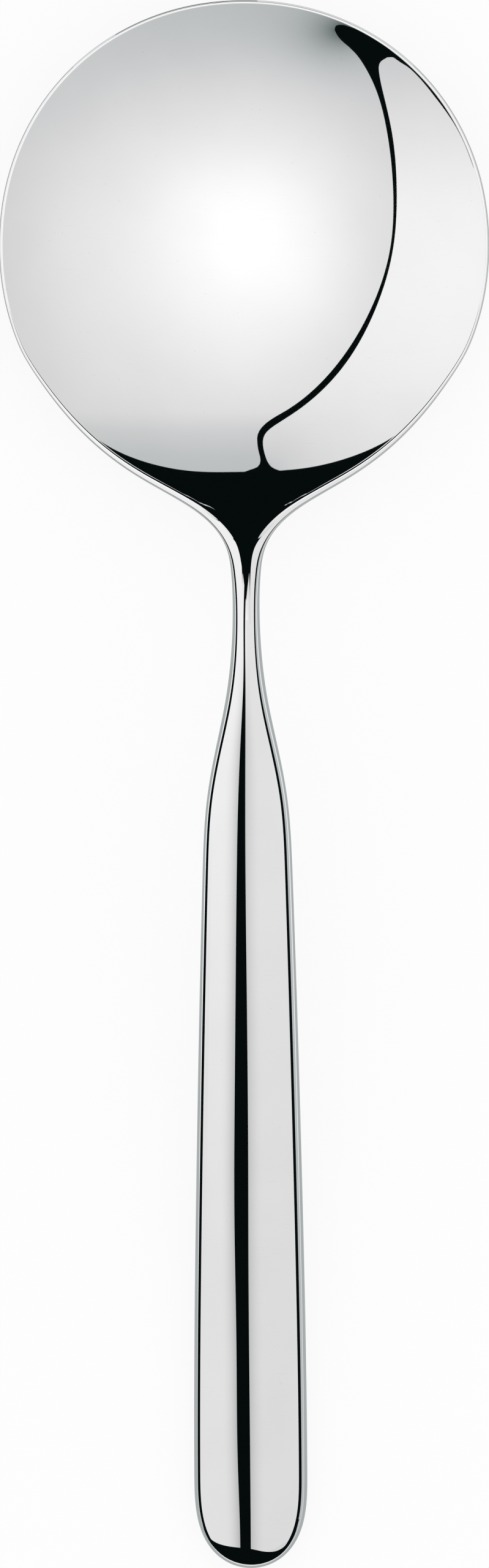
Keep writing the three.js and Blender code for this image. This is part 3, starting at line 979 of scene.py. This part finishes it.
# Painted shade: the panel's glow dims towards its foot
from_foot = np.hypot(panel_x - PANEL_FOOT_X, panel_place - PANEL_FOOT_PLACE)
panel_level = panel_fall(panel_place) * (1 - PANEL_FOOT_PAINTED_SHADE * np.exp(-from_foot / PANEL_FOOT_REACH))
panel_points = painted_reflection_point(bowl_face, panel_x, panel_place, SOFTBOX_DISTANCE - PANEL_LEAD)
add_card("panel", panel_points, level=panel_level)
gap = between(gap_edge, panel_edge, GAP_ROWS)
add_card("gap", painted_reflection_point(bowl_face, *gap, SOFTBOX_DISTANCE - CARD_GAP))
wedge_upper = smooth_path(
    [
        (14.95, -35.0), (15.05, -35.6), (16.0, -35.85), (17.1, -35.6), (21.1, -34.0), (25.8, -30.8),
        (29.5, -26.8), (32.0, -23.6), (34.35, -20.0), (36.4, -15.9), (37.6, -12.4),
    ],
    WEDGE_STEPS,
)
wedge_lower = smooth_path(
    [
        (23.5, -30.5), (24.4, -30.5), (25.2, -30.0), (26.7, -29.0), (29.0, -26.8), (31.55, -23.6),
        (34.1, -20.0), (36.2, -15.9), (37.5, -12.4),
    ],
    WEDGE_STEPS,
)
wedge = between(wedge_upper, wedge_lower, WEDGE_ROWS)
add_card("wedge", painted_reflection_point(bowl_face, *wedge, SOFTBOX_DISTANCE - CARD_GAP))

# Dark flag beyond the bowl, set along the camera's turned-back lines of sight: a painted dark reflection
# that shows below the lit cards and makes the dark foot on the shoulder
FLAG_OVERLAP = 3.0
FLAG_DROP = 45.0
flag_points = painted_reflection_point(bowl_face, *flag_edge, SOFTBOX_DISTANCE + CARD_GAP)
up = np.array([0.0, 0.0, 1.0])
flag_drop = FLAG_DROP * (1 - np.linspace(-1, 1, len(flag_points)) ** 2)
add_card("far_flag", [flag_points + FLAG_OVERLAP * up, flag_points - flag_drop[:, None] * up])

# Dark triangle above the shoulder, which draws the dark foot to a point and which the bowl doesn't see
TRIANGLE_HEIGHT = 52.0
TRIANGLE_BASE_Y = 84.0
TRIANGLE_POINT_Y = 57.0
TRIANGLE_HALF_BASE = 27.0
TRIANGLE_HALF_POINT = 1.0
triangle_base = [(hand * TRIANGLE_HALF_BASE, TRIANGLE_BASE_Y, TRIANGLE_HEIGHT) for hand in (-1, 1)]
triangle_point = [(hand * TRIANGLE_HALF_POINT, TRIANGLE_POINT_Y, TRIANGLE_HEIGHT) for hand in (-1, 1)]
add_card("shoulder_triangle", [triangle_base, triangle_point])

# Neck and handle: painted dark reflection of a stripe down their middle, from its left edge to its right
# one, set along the camera's turned-back lines of sight
STRIPE_START = 54.0
STRIPE_END = 213.2
STRIPE_DISTANCE = 52.0
STRIPE_STEPS = 175
STRIPE_ROWS = 3
stripe_left = spline(
    [
        (STRIPE_START, -0.25), (56, -0.3), (60, -0.43), (70, -0.5), (80, -0.98), (90, -1.45), (100, -1.72),
        (120, -2.04), (140, -2.32), (158, -2.46), (180, -2.24), (198, -2.14), (213, -1.79),
    ],
    0,
    0,
)
stripe_right = spline(
    [
        (STRIPE_START, 0.15), (56, 0.04), (60, -0.14), (70, -0.17), (80, -0.22), (97, -0.33), (120, -0.24),
        (148, -0.14), (166, -0.19), (185, -0.14), (213, -0.05),
    ],
    0,
    0,
)
stripe_place = np.linspace(STRIPE_START, STRIPE_END, STRIPE_STEPS)
left_edge = (stripe_left(stripe_place), stripe_place)
right_edge = (stripe_right(stripe_place), stripe_place)
add_card("stripe", painted_reflection_point(upper_face, *between(left_edge, right_edge, STRIPE_ROWS), STRIPE_DISTANCE))

# Handle: painted shade on both sides of the stripe, from thin dark sheets that only reflections see,
# narrower where the handle is slim
VEIL_ROWS = 8
VEIL_SETBACK = 2.0
VEIL_BREADTH = 2.4
VEIL_FULL_FROM = 6.0
VEIL_GROWTH = (62, 84)
LEFT_PAINTED_SHADE_DEPTH = 0.36
RIGHT_PAINTED_SHADE_DEPTH = 0.3
veil_breadth = VEIL_BREADTH * np.minimum(1, half_width(stripe_place) / VEIL_FULL_FROM)
painted_shade_fade = (1 - np.linspace(0, 1, VEIL_ROWS)[:, None]) ** 2 * smoother_step(stripe_place, *VEIL_GROWTH)
for painted_shade_name, edge, hand, depth in (
    ("left_painted_shade", left_edge, -1, LEFT_PAINTED_SHADE_DEPTH),
    ("right_painted_shade", right_edge, 1, RIGHT_PAINTED_SHADE_DEPTH),
):
    veil = between(edge, (edge[0] + hand * veil_breadth, stripe_place), VEIL_ROWS)
    veil_points = painted_reflection_point(upper_face, *veil, STRIPE_DISTANCE + VEIL_SETBACK)
    add_card(painted_shade_name, veil_points, cover=depth * painted_shade_fade)

# Dark flag beyond the handle, set along the camera's turned-back lines of sight: a painted dark reflection
# that its rounded end shows as a crescent
NEAR_FLAG_DISTANCE = 50.0
NEAR_FLAG_SHARE = 0.95
NEAR_FLAG_ROWS = 10
crescent_upper = smooth_path(
    [
        (-7.9, 208.0), (-7.13, 210.4), (-6.4, 211.3), (-5.0, 212.0), (-2.1, 212.5), (0.0, 212.75),
        (2.2, 213.2), (4.2, 213.1), (5.3, 212.5), (6.1, 211.6), (6.8, 210.4), (7.45, 208.0),
    ]
)
crescent_lower = smooth_path(
    [
        (-8.15, 208.0), (-7.46, 210.4), (-7.0, 211.3), (-6.4, 212.2), (-4.07, 214.4), (-1.2, 215.45),
        (1.2, 215.45), (4.0, 214.4), (5.73, 212.9), (6.5, 211.8), (7.21, 210.4), (7.9, 208.0),
    ]
)
flag_foot = [lerp(upper, lower, NEAR_FLAG_SHARE) for upper, lower in zip(crescent_upper, crescent_lower)]
near_flag = between(crescent_upper, flag_foot, NEAR_FLAG_ROWS)
add_card("near_flag", painted_reflection_point(upper_face, *near_flag, NEAR_FLAG_DISTANCE))

# Floor and light
FLOOR_HALF = 3000.0
FLOOR_DROP = 0.05
FLOOR_COLOUR = (0.9, 0.9, 0.9, 1)
FLOOR_WHITENING = 0.86


def pale_floor():
    """Floor that is whitened wherever it is seen, directly or in the metal, and keeps the spoon's shadow."""
    material, nodes, links = new_material("pale_floor")
    output = add_node(nodes, "ShaderNodeOutputMaterial")
    surface = add_node(nodes, "ShaderNodeBsdfDiffuse", Color=FLOOR_COLOUR)
    white = add_node(nodes, "ShaderNodeEmission", Strength=1.0)
    sight = add_node(nodes, "ShaderNodeLightPath")
    direct = add_node(nodes, "ShaderNodeMath", {"operation": "MAXIMUM"})
    links.new(sight.outputs["Is Camera Ray"], direct.inputs[0])
    links.new(sight.outputs["Is Glossy Ray"], direct.inputs[1])
    seen = add_node(nodes, "ShaderNodeMath", {"operation": "MAXIMUM"})
    links.new(direct.outputs["Value"], seen.inputs[0])
    links.new(sight.outputs["Is Transmission Ray"], seen.inputs[1])
    whitened = add_node(nodes, "ShaderNodeMath", {"operation": "MULTIPLY"})
    whitened.inputs[1].default_value = FLOOR_WHITENING
    links.new(seen.outputs["Value"], whitened.inputs[0])
    mix = add_node(nodes, "ShaderNodeMixShader")
    links.new(whitened.outputs["Value"], mix.inputs["Fac"])
    links.new(surface.outputs["BSDF"], mix.inputs[1])
    links.new(white.outputs["Emission"], mix.inputs[2])
    links.new(mix.outputs["Shader"], output.inputs["Surface"])
    return material


floor_mesh = bpy.data.meshes.new("floor")
floor_corners = sheet((-FLOOR_HALF, -FLOOR_HALF, 0), (2 * FLOOR_HALF, 0, 0), (0, 2 * FLOOR_HALF, 0))
floor_mesh.from_pydata(np.reshape(floor_corners, (-1, 3)) * MM, [], [(0, 1, 3, 2)])
floor_mesh.materials.append(pale_floor())
floor = bpy.data.objects.new("floor", floor_mesh)
floor.location.z = -FLOOR_DROP * MM
scene.collection.objects.link(floor)

world = bpy.data.worlds.new("studio")
world.use_nodes = True
world.node_tree.nodes["Background"].inputs["Color"].default_value = (1, 1, 1, 1)
world.node_tree.nodes["Background"].inputs["Strength"].default_value = 1.0
scene.world = world
